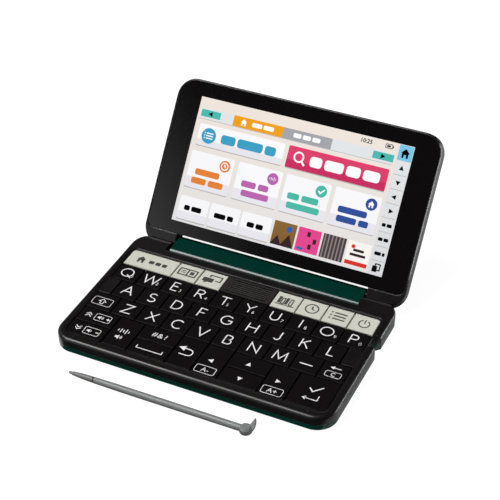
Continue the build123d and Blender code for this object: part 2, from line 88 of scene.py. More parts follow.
# %% Camera
camera_place = Vector((236.1, -454.9, 445.7)) * MM
camera_azimuth = radians(26.16)
camera_elevation = radians(37.66)
camera_roll = radians(-1.10)
camera_lens = 101.94
film_width = 36.0
nearest_sight = 0.01
camera_data = bpy.data.cameras.new("camera")
camera_data.lens = camera_lens
camera_data.sensor_width = film_width
camera_data.clip_start = nearest_sight
camera = bpy.data.objects.new("camera", camera_data)
bpy.context.scene.collection.objects.link(camera)
aim = Matrix.Rotation(camera_azimuth, 4, "Z") @ Matrix.Rotation(pi / 2 - camera_elevation, 4, "X")
camera.matrix_world = Matrix.Translation(camera_place) @ aim @ Matrix.Rotation(camera_roll, 4, "Z")
bpy.context.scene.camera = camera
print("camera", round(camera_place.length, 3), "m from the origin")

# %% [markdown]
# ## The studio
#
# Small electronics are often photographed on a light table: a white acrylic sheet that glows,
# so that the object stands on pure white and its shadow almost goes. One large soft light
# hangs high on the left. A dim one stands low on the left in front, and the left border of
# the polished window mirrors it. A black glossy thing shows its studio as a reflection, so
# the rest of the room is dim, and cards that only reflections can see do the rest. Four lie
# on the table: a black one in front keeps the front walls dark, a grey one on the right sets
# how bright the right side is, a dark one behind keeps the white table out of the lid's
# back, and a small one under the stylus also takes some of the table's light off it.

# %% Helpers for colours and shader nodes
def linear(colour):
    """Turns an sRGB hex colour into linear light with alpha."""
    channels = [int(colour[place:place + 2], 16) / 255 for place in (1, 3, 5)]
    return [*(c / 12.92 if c <= 0.04045 else ((c + 0.055) / 1.055) ** 2.4 for c in channels), 1.0]


def add(tree, kind, values=None, links=None, **settings):
    """Adds one shader node: socket values, links from other sockets, and its own settings."""
    node = tree.nodes.new(kind)
    for name, value in settings.items():
        setattr(node, name, value)
    for name, value in (values or {}).items():
        node.inputs[name].default_value = value
    for name, socket in (links or {}).items():
        tree.links.new(socket, node.inputs[name])
    return node


def new_material(name):
    """An empty node material and its tree."""
    material = bpy.data.materials.new(name)
    material.use_nodes = True
    material.node_tree.nodes.clear()
    return material, material.node_tree


def close_material(tree, kind, values=None, links=None):
    """Adds the last shader and joins it to the material's output."""
    shader = add(tree, kind, values, links)
    add(tree, "ShaderNodeOutputMaterial", links={"Surface": shader.outputs[0]})


print("middle grey is", round(linear("#808080")[0], 3), "in linear light")

# %% Sky
lights = (     # direction, cosine where the light begins, cosine of its full part, strength
    ((-0.45, -0.17, 0.88), 0.94, 0.989, 16.0),
    ((-0.60, -0.75, 0.27), 0.932, 0.985, 1.7),
)
dim_room = 0.05
world = bpy.data.worlds.new("studio")
world.use_nodes = True
sky = world.node_tree
sky.nodes.clear()
way = add(sky, "ShaderNodeTexCoord").outputs["Generated"]
glows = []
for direction, edge, core, strength in lights:
    nearness = add(sky, "ShaderNodeVectorMath", {1: Vector(direction).normalized()}, {0: way},
                   operation="DOT_PRODUCT")
    glow = add(sky, "ShaderNodeMapRange",
               {"From Min": edge, "From Max": core, "To Min": dim_room / 2, "To Max": strength},
               {"Value": nearness.outputs["Value"]}, interpolation_type="SMOOTHSTEP")
    glows.append(glow.outputs["Result"])
total = add(sky, "ShaderNodeMath", links=dict(enumerate(glows)), operation="ADD")
background = add(sky, "ShaderNodeBackground", {"Color": linear("#ffffff")},
                 {"Strength": total.outputs[0]})
add(sky, "ShaderNodeOutputWorld", links={"Surface": background.outputs["Background"]})
bpy.context.scene.world = world
bpy.context.scene.view_settings.view_transform = "Standard"
print("sky with", len(lights), "soft lights")


# %% Light table
def put_in_scene(name, mesh, material):
    """Makes an object of a mesh, in one material."""
    mesh.materials.append(material)
    piece = bpy.data.objects.new(name, mesh)
    bpy.context.scene.collection.objects.link(piece)
    return piece


def studio_sheet(name, corners, material):
    """A flat sheet through four corners, in one material."""
    mesh = bpy.data.meshes.new(name)
    mesh.from_pydata(corners, [], [(0, 1, 2, 3)])
    sheet = put_in_scene(name, mesh, material)
    return sheet


floor_size = 6.0
table_glow = 0.97
paper, tree = new_material("white_translucent_acrylic_table")
tooth = add(tree, "ShaderNodeTexNoise", {"Scale": 900.0, "Detail": 3.0})
relief = add(tree, "ShaderNodeBump", {"Strength": 0.04, "Distance": 0.0002},
             {"Height": tooth.outputs[0]})
close_material(tree, "ShaderNodeBsdfPrincipled",
               {"Base Color": linear("#6e6e6d"), "Roughness": 0.9, "Specular IOR Level": 0.1,
                "Emission Color": linear("#ffffff"), "Emission Strength": table_glow},
               {"Normal": relief.outputs["Normal"]})
floor_corners = [(x * floor_size, y * floor_size, floor_z)
                 for x, y in ((-1, -1), (1, -1), (1, 1), (-1, 1))]
studio_sheet("floor", floor_corners, paper)
print("light table", 2 * floor_size, "m wide")


# %% Cards that only reflections see
def card_face(name, colour, glow):
    """Matt card, which may also glow."""
    material, tree = new_material(name)
    close_material(tree, "ShaderNodeBsdfPrincipled",
                   {"Base Color": linear(colour), "Roughness": 0.95, "Specular IOR Level": 0.1,
                    "Emission Color": linear("#ffffff"), "Emission Strength": glow})
    return material


def reflected_only(card, darkens=False):
    """Keeps a card out of the picture, so that it works only in reflections."""
    card.visible_camera = False
    card.visible_diffuse = darkens
    card.visible_shadow = False
    card.visible_transmission = False


case_low, case_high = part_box("bottom_case")
card_level = floor_z + 0.05 * MM
card_reach = 0.5
stylus_low, stylus_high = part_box("stylus")
apron_front = -116.0 * MM
apron_back = -52.0 * MM
cards = (     # name, colour, glow, its two corners, whether it also darkens what is over it
    ("black_card", "#0a0a0a", 0.0, (-card_reach, -card_reach), (card_reach, case_low.y), False),
    ("side_card", "#808080", 0.38, (case_high.x, case_low.y), (card_reach, card_reach), False),
    ("back_card", "#1c1c1c", 0.0, (-card_reach, case_high.y), (case_high.x, card_reach), False),
    ("stylus_card", "#202020", 0.0, (stylus_low.x, apron_front), (stylus_high.x, apron_back),
     True),
)
for name, colour, glow, low, high, darkens in cards:
    corners = [(low[0], low[1], card_level), (high[0], low[1], card_level),
               (high[0], high[1], card_level), (low[0], high[1], card_level)]
    reflected_only(studio_sheet(name, corners, card_face(name, colour, glow)), darkens)
print("cards:", [card[0] for card in cards])

# %% [markdown]
# The right edges of the lid and the case shine as bright lines. One large light there would
# also wash over the keys, so two small ones are used: a low board far to the right for the
# case, and a narrow strip close beside the lid, set in the lid's own frame. Light linking
# keeps each of them to its own shells, so the window and the keys don't mirror them.

# %% A lit board and a lit strip on the right
board_x = 0.45
board_near, board_far, board_height = 0.16, 0.60, 0.05
board_corners = [(board_x, board_far, card_level), (board_x, board_near, card_level),
                 (board_x, board_near, board_height), (board_x, board_far, board_height)]
strip_x = 0.095
strip_foot, strip_head = 0.012, 0.11
strip_back, strip_front = 0.004, 0.018
strip_corners = [lid_frame @ Vector((strip_x, up, out)) for up, out in (
    (strip_foot, strip_back), (strip_foot, strip_front),
    (strip_head, strip_front), (strip_head, strip_back))]
for name, corners, glow, shells in (
    ("case_board", board_corners, 24.0, ("top_case", "bottom_case")),
    ("lid_strip", strip_corners, 18.0, ("lid_frame", "lid_cover")),
):
    sheet = studio_sheet(name, corners, card_face(name, "#808080", glow))
    reflected_only(sheet)
    lit_shells = bpy.data.collections.new(name + "_shells")
    for shell in shells:
        lit_shells.objects.link(nodes[shell])
    sheet.light_linking.receiver_collection = lit_shells
print("a board", board_far - board_near, "m long and a strip", strip_head - strip_foot, "m long")

# %% [markdown]
# ## Moulded plastics
#
# Nearly every part here is injection-moulded plastic, and what the eye sees is the surface of
# the steel mould. A fine spark-eroded mould leaves a grain of a few tenths of a millimetre,
# a polished one leaves a mirror. So one function makes them all: a colour, a roughness
# that wanders a little as on any handled part, a grain of a given size and depth, and edges
# that are never quite sharp. The grain is drawn a little coarser than life, so that it shows.

# %% One function for moulded plastic
cloud_scale = 60.0     # the gloss wanders over about a centimetre and a half


def on_part(tree, kind, values=None, **settings):
    """Adds a node that reads places in the part's own space, such as a texture."""
    place = add(tree, "ShaderNodeTexCoord").outputs["Object"]
    return add(tree, kind, values, {"Vector": place}, **settings)


def moulded(name, colour, roughness, ior, grain_mm, grain_depth_mm, edge_mm=0.12, specular=0.5,
            wander=0.06, shade=0.10):
    """A moulded plastic with grain, soft edges and slight changes of colour and gloss."""
    material, tree = new_material(name)
    grain = on_part(tree, "ShaderNodeTexNoise", {"Scale": 1 / (grain_mm * MM), "Detail": 2.0})
    cloud = on_part(tree, "ShaderNodeTexNoise", {"Scale": cloud_scale, "Detail": 3.0})
    gloss = add(tree, "ShaderNodeMapRange",
                {"From Min": 0.3, "From Max": 0.7, "To Min": roughness - wander,
                 "To Max": roughness + wander}, {"Value": cloud.outputs[0]})
    dark = [channel * (1 - shade) for channel in linear(colour)[:3]] + [1.0]
    light = [min(1.0, channel * (1 + shade)) for channel in linear(colour)[:3]] + [1.0]
    tint = add(tree, "ShaderNodeMix", {"A": dark, "B": light}, {"Factor": grain.outputs[0]},
               data_type="RGBA")
    edge = add(tree, "ShaderNodeBevel", {"Radius": edge_mm * MM}, samples=4)
    relief = add(tree, "ShaderNodeBump", {"Strength": 0.6, "Distance": grain_depth_mm * MM},
                 {"Height": grain.outputs[0], "Normal": edge.outputs["Normal"]})
    close_material(tree, "ShaderNodeBsdfPrincipled", {"IOR": ior, "Specular IOR Level": specular},
                   {"Base Color": tint.outputs["Result"], "Roughness": gloss.outputs["Result"],
                    "Normal": relief.outputs["Normal"]})
    return material


print("gloss wanders over", round(1000 / cloud_scale), "mm")

# %% The plastics
# Polished mould: a deep green that mirrors its surroundings and shows hardly any grain.
green_abs = moulded("dark_green_gloss_moulded_abs", "#002f27", 0.16, 1.53, 0.5, 0.002,
                    edge_mm=0.3, specular=0.3, wander=0.03, shade=0.05)
# Spark-eroded mould: a satin black, where a rim catches the light as a broad soft line.
black_abs = moulded("black_satin_moulded_abs", "#0e0b0b", 0.34, 1.50, 0.35, 0.006, edge_mm=0.5,
                    specular=0.4)
# The same plastic from a smoother mould: the light line on the lid's rim is clearer.
lid_abs = moulded("black_satin_moulded_lid_abs", "#0e0b0b", 0.26, 1.50, 0.35, 0.006, edge_mm=1.0,
                  specular=0.4)
# Low gloss, fine grain: the key tops stay nearly black, so the white print stands out.
black_key = moulded("black_printed_key_abs", "#120e0f", 0.30, 1.49, 0.35, 0.006, edge_mm=0.2,
                    specular=0.1)
# Pale and a little coarse: a warm matt colour with almost no highlight.
cream_key = moulded("cream_key_abs", "#cccbbf", 0.42, 1.49, 0.4, 0.010, shade=0.03)
# Waxy acetal: one soft light line runs along the rod.
stylus_pom = moulded("grey_moulded_pom_stylus", "#777b79", 0.38, 1.48, 0.6, 0.008, specular=0.4,
                     shade=0.06)
# Rubber scatters nearly all light: dark grey without a highlight.
foot_rubber = moulded("black_foot_rubber", "#1a1a1a", 0.75, 1.52, 0.3, 0.02, specular=0.2)

print("plastics:", [m.name for m in bpy.data.materials if "abs" in m.name or "pom" in m.name])


# %% Another colour or a sharper edge inside a box
def inside_box(tree, low, high):
    """A socket that is one inside a box of the part's own space."""
    low, high = Vector(low), Vector(high)
    offset = on_part(tree, "ShaderNodeVectorMath", {1: (low + high) / 2}, operation="SUBTRACT")
    share = add(tree, "ShaderNodeVectorMath", {1: (high - low) / 2}, {0: offset.outputs[0]},
                operation="DIVIDE")
    size = add(tree, "ShaderNodeVectorMath", links={0: share.outputs[0]}, operation="ABSOLUTE")
    axes = add(tree, "ShaderNodeSeparateXYZ", links={"Vector": size.outputs[0]})
    flat = add(tree, "ShaderNodeMath", links={0: axes.outputs["X"], 1: axes.outputs["Y"]},
               operation="MAXIMUM")
    most = add(tree, "ShaderNodeMath", links={0: flat.outputs[0], 1: axes.outputs["Z"]},
               operation="MAXIMUM")
    return add(tree, "ShaderNodeMath", {1: 1.0}, {0: most.outputs[0]},
               operation="LESS_THAN").outputs[0]


def recolour(material, low, high, colour):
    """Gives a material another colour inside a box of the part's own space."""
    tree = material.node_tree
    shader = next(node for node in tree.nodes if node.type == "BSDF_PRINCIPLED")
    outside = shader.inputs["Base Color"].links[0].from_socket
    mixed = add(tree, "ShaderNodeMix", {"B": linear(colour)},
                {"Factor": inside_box(tree, low, high), "A": outside}, data_type="RGBA")
    tree.links.new(mixed.outputs["Result"], shader.inputs["Base Color"])


def sharpen(material, low, high, edge_mm):
    """Gives a material sharper edges inside a box of the part's own space."""
    tree = material.node_tree
    edge = next(node for node in tree.nodes if node.type == "BEVEL")
    radius = add(tree, "ShaderNodeMapRange",
                 {"To Min": edge.inputs["Radius"].default_value, "To Max": edge_mm * MM},
                 {"Value": inside_box(tree, low, high)})
    tree.links.new(radius.outputs["Result"], edge.inputs["Radius"])


print("a material can change inside a box")

# %% The grille, lighter on top, with painted shade in its holes and rows and a painted highlight on its ribs, and the nose of the stylus
key_low, key_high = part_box("key_subject_b")
grille_half = 13.0 * MM
grille_edge_mm = 0.08
rib_sink = 0.25 * MM
rib_skin = 0.08 * MM
rib_level = base_top - rib_sink - rib_skin
grille_low, grille_high = (-grille_half, key_low.y), (grille_half, key_high.y)
# The top skin of the grille gets a lighter colour than the deck.
recolour(black_abs, (*grille_low, rib_level), (*grille_high, base_top), "#2a2524")
# Painted shade: the walls of the holes, below the top skin, are made nearly black.
recolour(black_abs, (*grille_low, 0.0), (*grille_high, rib_level), "#030303")
sharpen(black_abs, (*grille_low, 0.0), (*grille_high, base_top), grille_edge_mm)
rows, row_holes = 7, 18
row_pitch, hole_pitch, hole_size = 1.42 * MM, 1.2 * MM, 0.75 * MM
row_half = hole_size / 2
row_reach = (row_holes - 1) / 2 * hole_pitch + row_half
field_y = (key_low.y + key_high.y) / 2
field_half = (rows - 1) / 2 * row_pitch + row_half
# Painted highlight: the ribs between the rows of holes are made lighter than the rest of the grille.
recolour(black_abs, (-row_reach, field_y - field_half, rib_level),
         (row_reach, field_y + field_half, base_top), "#3e3a38")
# Painted shade: a nearly black band along each row darkens the top between its holes, so that the row reads as a
# dark slot.
for row in range(rows):
    row_y = field_y + (row - (rows - 1) / 2) * row_pitch
    recolour(black_abs, (-row_reach, row_y - row_half, rib_level),
             (row_reach, row_y + row_half, base_top), "#070606")
nose_length = 13.0 * MM
groove_lead, groove_width = 0.1 * MM, 0.5 * MM
beyond = 1.0     # a metre, so past the stylus on every side
nose_end = stylus_low.x + nose_length
recolour(stylus_pom, (stylus_low.x, -beyond, -beyond), (nose_end, beyond, beyond), "#6a6b69")
# Painted shade: a dark ring where the groove behind the nose lies.
recolour(stylus_pom, (nose_end - groove_lead, -beyond, -beyond),
         (nose_end + groove_width, beyond, beyond), "#2a2928")
print("a grille of", rows, "rows with", row_holes, "holes each")

# %% [markdown]
# ## The window, and what is inside
#
# The display window is one clear sheet with a black border printed behind it, polished like
# glass, so its roughness is near zero and only dust and a faint waviness keep it from being a
# perfect mirror. Inside the case are the steel shafts of the hinge, the rubber key sheet,
# the lacquered board with its sockets, and the sleeved battery. They show only
# through gaps, but a gap with nothing real in it looks wrong.

# %% Window, steel, board, rubber sheet and battery
dust_scale = 900.0     # dust of about a millimetre
socket_edge = -63.5 * MM

# Clear acrylic over black print: a mirror with a very slight waviness.
window_acrylic, tree = new_material("black_backed_polished_acrylic")
wave = on_part(tree, "ShaderNodeTexNoise", {"Scale": 30.0, "Detail": 1.0})
dust = on_part(tree, "ShaderNodeTexNoise", {"Scale": dust_scale, "Detail": 4.0})
smear = add(tree, "ShaderNodeMapRange",
            {"From Min": 0.45, "From Max": 0.8, "To Min": 0.05, "To Max": 0.16},
            {"Value": dust.outputs[0]})
relief = add(tree, "ShaderNodeBump", {"Strength": 0.15, "Distance": 0.05 * MM},
             {"Height": wave.outputs[0]})
close_material(tree, "ShaderNodeBsdfPrincipled", {"Base Color": linear("#080607"), "IOR": 1.49},
               {"Roughness": smear.outputs["Result"], "Normal": relief.outputs["Normal"]})

# Steel rod, turned round its length, so the fine lines run round the shaft.
shaft_steel, tree = new_material("turned_steel_shaft")
lines = on_part(tree, "ShaderNodeTexWave", {"Scale": 900.0, "Distortion": 1.5},
                bands_direction="X")
relief = add(tree, "ShaderNodeBump", {"Strength": 0.2, "Distance": 0.02 * MM},
             {"Height": lines.outputs[0]})
close_material(tree, "ShaderNodeBsdfPrincipled",
               {"Base Color": linear("#b9babd"), "Metallic": 1.0, "Roughness": 0.28},
               {"Normal": relief.outputs["Normal"]})

# Green solder lacquer on the board, and black plastic on what stands at its left edge.
board_lacquer, tree = new_material("green_lacquered_circuit_board")
axes = on_part(tree, "ShaderNodeSeparateXYZ")
in_socket = add(tree, "ShaderNodeMath", {1: socket_edge}, {0: axes.outputs["X"]},
                operation="LESS_THAN")
tracks = on_part(tree, "ShaderNodeTexBrick", {"Scale": 420.0})
lacquer = add(tree, "ShaderNodeMix", {"A": linear("#0d3d22"), "B": linear("#14552f")},
              {"Factor": tracks.outputs[1]}, data_type="RGBA")
colour = add(tree, "ShaderNodeMix", {"B": linear("#141415")},
             {"Factor": in_socket.outputs[0], "A": lacquer.outputs["Result"]}, data_type="RGBA")
close_material(tree, "ShaderNodeBsdfPrincipled", {"Roughness": 0.35, "IOR": 1.55},
               {"Base Color": colour.outputs["Result"]})

# Silicone rubber is dull and even. A shrink sleeve is a thin tight film with a soft gloss.
sheet_rubber = moulded("grey_silicone_key_sheet", "#2b2b2d", 0.6, 1.43, 0.4, 0.02)
battery_sleeve = moulded("dark_battery_shrink_sleeve", "#26262c", 0.3, 1.5, 0.8, 0.02)
print("materials so far:", len(bpy.data.materials))

# %% [markdown]
# ## Which part has which finish
#
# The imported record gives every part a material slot, so the finishes are handed out by slot,
# in one loop.

# %% Hand out the finishes
finishes = {
    "green_shell": green_abs, "black_frame": black_abs, "display_window": window_acrylic,
    "black_key": black_key, "cream_key": cream_key, "stylus_grey": stylus_pom,
    "key_rubber": sheet_rubber, "foot_rubber": foot_rubber, "shaft_steel": shaft_steel,
    "board": board_lacquer, "battery_can": battery_sleeve,
}
slots = {part["node"]: part["material_slot"] for part in frame["record"]["subparts"]}
for name, part in nodes.items():
    part.material_slots[0].material = finishes[slots[name]]
nodes["lid_frame"].material_slots[0].material = lid_abs
print("dressed", len(nodes), "parts in", len(set(slots.values())), "finishes")

# %% [markdown]
# ## Drawing with ink
#
# Legends are pad-printed: a skin of ink a few hundredths of a millimetre thick. A small
# drawing kit makes it. A drawing is a list of flat outlines in millimetres, made of discs,
# panels, lines of even width and letters. `ink()` then lays a whole drawing on a plane as
# one mesh, and a Solidify modifier gives the skin its thickness.

# %% Curves, discs and panels
def curve(middle, radii, start, end, steps=14):
    """Points along part of an ellipse, with angles in degrees."""
    turns = [radians(start + (end - start) * n / steps) for n in range(steps + 1)]
    return [(middle[0] + radii[0] * cos(t), middle[1] + radii[1] * sin(t)) for t in turns]


def arc(middle, radius, start, end, steps):
    """Points along part of a circle."""
    return curve(middle, (radius, radius), start, end, steps)


def disc(middle, radius, steps=28):
    """A filled circle."""
    return [arc(middle, radius, 0, 360, steps)[:-1]]


def panel(low, high, corner=0.0):
    """A filled rectangle with rounded corners."""
    (left, bottom), (right, top) = low, high
    if not corner:
        return [[(left, bottom), (right, bottom), (right, top), (left, top)]]
    points = []
    for x, y, start in ((right - corner, top - corner, 0), (left + corner, top - corner, 90),
                        (left + corner, bottom + corner, 180),
                        (right - corner, bottom + corner, 270)):
        points += arc((x, y), corner, start, start + 90, 6)
    return [points]


print("a rounded panel has", len(panel((-1, -1), (1, 1), 0.2)[0]), "points")


# %% Lines of even width
def line(points, width, closed=False):
    """A line of even width through a list of points, as one quad for each stretch."""
    longest_mitre = 0.35     # the least cosine at a corner, so that a sharp one isn't too long
    spots = [Vector(point) for point in points]
    count = len(spots)
    sides = []
    for n, spot in enumerate(spots):
        ways = []
        if n or closed:
            ways.append((spot - spots[n - 1]).normalized())
        if n + 1 < count or closed:
            ways.append((spots[(n + 1) % count] - spot).normalized())
        along = sum(ways, Vector((0, 0))).normalized()
        reach = width / 2 / max(longest_mitre, along.dot(ways[0]))
        side = Vector((-along.y, along.x)) * reach
        sides.append((tuple(spot + side), tuple(spot - side)))
    last = count if closed else count - 1
    return [[sides[n][0], sides[n][1], sides[(n + 1) % count][1], sides[(n + 1) % count][0]]
            for n in range(last)]


def box_outline(low, high, corner, width):
    """The outline of a rounded rectangle."""
    return line(panel(low, high, corner)[0], width, closed=True)


def moved(shapes, x, y, scale=1.0):
    """The shapes, scaled and then moved."""
    return [[(x + scale * px, y + scale * py) for px, py in shape] for shape in shapes]


print("an outlined box has", len(box_outline((-1, -1), (1, 1), 0.2, 0.1)), "quads")

# %% Letters
capital_share = 0.729    # height of a capital in the built-in typeface, as a share of its size


def letter(text, height, x, y, weight=0.0):
    """Letters of the built-in typeface, centred on a place, as a mesh's faces."""
    data = bpy.data.curves.new("type", "FONT")
    data.body = text
    data.align_x = "CENTER"
    data.resolution_u = 4
    data.offset = weight
    holder = bpy.data.objects.new("type", data)
    mesh = bpy.data.meshes.new_from_object(holder)
    tops = [vertex.co.y for vertex in mesh.vertices]
    lefts = [vertex.co.x for vertex in mesh.vertices]
    scale = height / capital_share
    middle = (min(lefts) + max(lefts)) / 2
    raise_by = capital_share / 2 if text.isalnum() else (min(tops) + max(tops)) / 2
    shapes = [[mesh.vertices[index].co.to_2d() for index in polygon.vertices]
              for polygon in mesh.polygons]
    bpy.data.objects.remove(holder)
    bpy.data.meshes.remove(mesh)
    return moved(shapes, x - scale * middle, y - scale * raise_by, scale)


def drawn_letter(strokes, height, width, x, y):
    """A capital drawn from pen strokes that are given for a half height of one."""
    scale = (height - width) / 2
    return [shape for stroke in strokes
            for shape in line([(x + scale * px, y + scale * py) for px, py in stroke], width)]


print("a capital is", capital_share, "of its typeface size")

# %% Ink
hair = 0.002 * MM
hairs = 5


def lift_strokes(builder):
    """Lifts each separate stroke a hair above the one before, so that strokes which cross
    don't lie in one plane. After a few hairs it starts again from the key."""
    left = set(builder.verts)
    count = 0
    for first in builder.verts:
        if first not in left:
            continue
        left.discard(first)
        waiting = [first]
        while waiting:
            corner = waiting.pop()
            corner.co.z += count % hairs * hair
            near = {edge.other_vert(corner) for edge in corner.link_edges} & left
            left -= near
            waiting += near
        count += 1


def ink(name, shapes, place, material, body, thickness=0.03):
    """Lays a drawing on the plane of a matrix, as one printed piece that rides on a body."""
    builder = bmesh.new()
    for shape in shapes:
        corners = [builder.verts.new((x * MM, y * MM, 0.0)) for x, y in shape]
        builder.faces.new(corners)
    bmesh.ops.remove_doubles(builder, verts=builder.verts, dist=hair)
    bmesh.ops.recalc_face_normals(builder, faces=builder.faces)
    for face in builder.faces:
        if face.normal.z < 0:
            face.normal_flip()
    lift_strokes(builder)
    mesh = bpy.data.meshes.new(name)
    builder.to_mesh(mesh)
    builder.free()
    mesh.transform(place)
    piece = put_in_scene(name, mesh, material)
    skin = piece.modifiers.new("skin", "SOLIDIFY")
    skin.thickness = thickness * MM
    skin.offset = 1.0
    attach(piece, body)
    return piece


print("strokes that cross lie", hair, "m apart")

# %% [markdown]
# ## Letters and icons
#
# The letters on the keys are wide capitals of one thin even stroke. A typeface would be
# heavier and narrower, so they are drawn as a sign painter would: each is a few pen strokes,
# straight or part of an ellipse. The function keys carry small pictures, each a function
# that returns shapes around its own middle, so it fits any key or screen tile.

# %% Capitals
upright = [(-0.6, -1), (-0.6, 1)]
oval = curve((0, 0), (1.06, 1), 0, 360, 32)
upper_bowl = [(-0.6, 1)] + curve((0.1, 0.48), (0.54, 0.52), 90, -90) + [(-0.6, -0.04)]
capitals = {
    "A": [[(-0.95, -1), (0, 1), (0.95, -1)], [(-0.6, -0.3), (0.6, -0.3)]],
    "B": [upright, [(-0.6, 1)] + curve((0.05, 0.53), (0.47, 0.47), 90, -90) + [(-0.6, 0.06)],
          [(-0.6, 0.06)] + curve((0.1, -0.47), (0.56, 0.53), 90, -90) + [(-0.6, -1)]],
    "C": [curve((0.12, 0), (0.98, 1), 48, 312, 22)],
    "D": [[(-0.72, -1), (-0.72, 1)] + curve((-0.12, 0), (0.96, 1), 90, -90, 20) + [(-0.75, -1)]],
    "E": [[(0.56, 1), (-0.55, 1), (-0.55, -1), (0.6, -1)], [(-0.55, 0.06), (0.46, 0.06)]],
    "F": [[(0.58, 1), (-0.5, 1), (-0.5, -1)], [(-0.5, 0.02), (0.46, 0.02)]],
    "G": [curve((0.05, 0), (1.0, 1), 48, 310, 22) + [(0.9, -0.62), (0.9, -0.02), (0.2, -0.02)]],
    "H": [[(-0.8, -1), (-0.8, 1)], [(0.8, -1), (0.8, 1)], [(-0.8, 0.04), (0.8, 0.04)]],
    "I": [[(0, -1), (0, 1)]],
    "J": [[(0.42, 1)] + curve((-0.05, -0.5), (0.47, 0.5), 0, -150)],
    "K": [upright, [(0.66, 1), (-0.6, -0.1)], [(-0.2, 0.25), (0.82, -1)]],
    "L": [[(-0.45, 1), (-0.45, -1), (0.6, -1)]],
    "M": [[(-1.06, -1), (-0.88, 1), (0, -0.75), (0.88, 1), (1.06, -1)]],
    "N": [[(-0.8, -1), (-0.8, 1), (0.8, -1), (0.8, 1)]],
    "O": [oval],
    "P": [upright, upper_bowl],
    "Q": [oval, [(0.15, -0.5), (1.05, -1.15)]],
    "R": [upright, upper_bowl, [(0.02, -0.04), (0.72, -1)]],
    "S": [curve((0.02, 0.5), (0.58, 0.5), 35, 270, 16)
          + curve((0, -0.5), (0.64, 0.5), 90, -145, 16)],
    "T": [[(-0.86, 1), (0.86, 1)], [(0, 1), (0, -1)]],
    "U": [[(-0.76, 1)] + curve((0, -0.28), (0.76, 0.72), 180, 360, 18) + [(0.76, 1)]],
    "V": [[(-0.92, 1), (0, -1), (0.92, 1)]],
    "W": [[(-1.36, 1), (-0.7, -1), (0, 0.9), (0.7, -1), (1.36, 1)]],
    "X": [[(-0.82, 1), (0.86, -1)], [(0.82, 1), (-0.86, -1)]],
    "Y": [[(-0.88, 1), (0, 0.02), (0.88, 1)], [(0, 0.02), (0, -1)]],
    "Z": [[(-0.8, 1), (0.8, 1), (-0.84, -1), (0.86, -1)]],
}
print("pen strokes for", len(capitals), "capitals")


# %% Icons for keys and screen
def sized(size, shapes):
    """A drawing that was made for a size of one, at its real size in millimetres."""
    return moved(shapes, 0, 0, size)


def house(size):
    """A house with a door."""
    roof = [(-0.5, 0.02), (0, 0.5), (0.5, 0.02), (0.36, 0.02), (-0.36, 0.02)]
    left = panel((-0.36, -0.5), (-0.12, 0.02))
    right = panel((0.12, -0.5), (0.36, 0.02))
    lintel = panel((-0.12, -0.16), (0.12, 0.02))
    return sized(size, [roof] + left + right + lintel)


def arrow_head(size, turn):
    """A filled triangle that points along an angle in degrees."""
    turns = [radians(turn + part) for part in (0, 125, 235)]
    return [[(size * cos(t), size * sin(t)) for t in turns]]


def double_chevron(size, up):
    """Two chevrons, one over the other."""
    shapes = []
    for lift in (-0.3, 0.35):
        tip, foot = lift + 0.3 * up, lift - 0.3 * up
        shapes += line([(-0.7, foot), (0, tip), (0.7, foot)], 0.2)
    return sized(size, shapes)


def loudspeaker(size, waves):
    """A loudspeaker with sound waves."""
    shapes = [[(-1, -0.35), (-0.5, -0.35), (0, -0.8), (0, 0.8), (-0.5, 0.35), (-1, 0.35)]]
    for n in range(waves):
        shapes += line(arc((0, 0), 0.45 + 0.4 * n, -48, 48, 8), 0.18)
    return sized(size, shapes)


def bars(rows, height, gap, x, y):
    """Lines of short bars, in the place of words. A row is a list of bar lengths."""
    shapes = []
    top = y + (len(rows) * height + (len(rows) - 1) * gap) / 2
    for row in rows:
        left = x - (sum(row) + gap * (len(row) - 1)) / 2
        for length in row:
            shapes += panel((left, top - height), (left + length, top), 0.3 * height)
            left += length + gap
        top -= height + gap
    return shapes


print("a house has", len(house(1.0)), "outlines")


# %% Icons in lines of one width
def open_book(size, width):
    """An open book seen from the front, with two lines on one page and the other one solid."""
    shapes = []
    for side in (-0.75, 0.75):
        shapes += line([(0, -0.36), (side, -0.36), (side, 0.4), (0, 0.4)], width / size, True)
    for lift in (-0.06, 0.14):
        shapes += line([(-0.56, lift), (-0.2, lift)], 0.7 * width / size)
    return sized(size, shapes + panel((0.2, -0.16), (0.56, 0.22)))


def speech_pair(size, width):
    """Two speech balloons that overlap: the front one is solid, the back one an outline."""
    front = panel((-0.75, -0.36), (0.16, 0.14), 0.1)
    tail = [[(-0.5, -0.34), (-0.22, -0.34), (-0.56, -0.58)]]
    back = line([(-0.28, 0.24), (-0.28, 0.5), (0.72, 0.5), (0.72, -0.06), (0.3, -0.06)],
                width / size)
    return sized(size, front + tail + back)


def book_row(size, width):
    """Books on a shelf, every other one solid."""
    shapes = line([(-0.8, -0.5), (0.8, -0.5)], width / size)
    for x, top, solid in ((-0.6, 0.44, 1), (-0.28, 0.3, 0), (0.04, 0.44, 1), (0.42, 0.36, 0)):
        low, high = (x - 0.12, -0.38), (x + 0.12, top)
        shapes += panel(low, high) if solid else box_outline(low, high, 0.03, width / size)
    return sized(size, shapes)


def clock(size, width):
    """A clock face: what was looked up before."""
    ring = line(disc((0, 0), 0.5, 24)[0], width / size, True)
    return sized(size, ring + line([(0, 0.3), (0, 0), (0.22, -0.12)], width / size))


def bullet_list(size, width):
    """A list with bullets."""
    shapes = []
    for lift in (-0.36, 0.0, 0.36):
        shapes += disc((-0.6, lift), 0.09, 12) + line([(-0.36, lift), (0.68, lift)], width / size)
    return sized(size, shapes)


def power_mark(size, width):
    """A ring that is open at the top, with a stroke in the gap."""
    ring = line(arc((0, 0), 0.5, 120, 420, 28), width / size)
    return sized(size, ring + line([(0, 0.04), (0, 0.56)], width / size))


def up_outline(size, width):
    """An outlined arrow that points up."""
    half = [(0, 0.5), (0.5, 0.02), (0.22, 0.02), (0.22, -0.45)]
    points = half + [(-x, y) for x, y in reversed(half[1:])]
    return sized(size, line(points, width / size, True))


